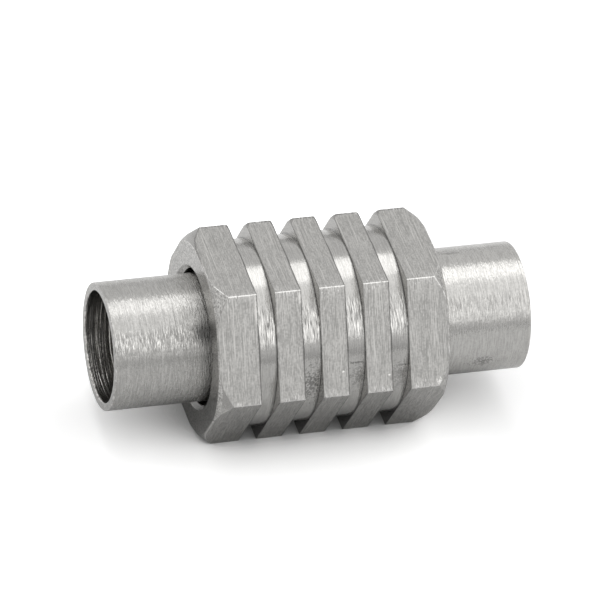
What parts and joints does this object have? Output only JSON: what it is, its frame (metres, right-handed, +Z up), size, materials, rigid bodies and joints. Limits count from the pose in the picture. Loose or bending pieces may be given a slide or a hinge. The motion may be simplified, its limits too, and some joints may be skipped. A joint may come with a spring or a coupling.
{
  "type": "magnetic clasp",
  "caption": "Brushed steel magnetic clasp for round cord: a grooved hexagonal sleeve with a plain neck, and a round plug that slides into it, each with a disc magnet and a cord hole.",
  "frame": {"origin": "under the middle of the clasp, on the surface that it lies on", "axes": "+X along the clasp's axis from the plug to the neck, +Z up, square to the flat of the hexagon that it lies on"},
  "size_m": [0.0238, 0.0122, 0.0105],
  "materials": {
    "brushed_stainless_steel": "satin, brushed across the flats and turned round the tubes and grooves",
    "nickel_plate": "dull, slightly granular nickel plating on a sintered magnet"
  },
  "bodies": {
    "sleeve": {"sleeve": "brushed_stainless_steel", "sleeve_magnet": "nickel_plate"},
    "plug": {"plug": "brushed_stainless_steel", "plug_magnet": "nickel_plate"}
  },
  "joints": [
    {"name": "plug_pull", "type": "slide", "parent": "sleeve", "child": "plug", "axis": [-1, 0, 0], "range_m": [0, 0.01]}
  ]
}
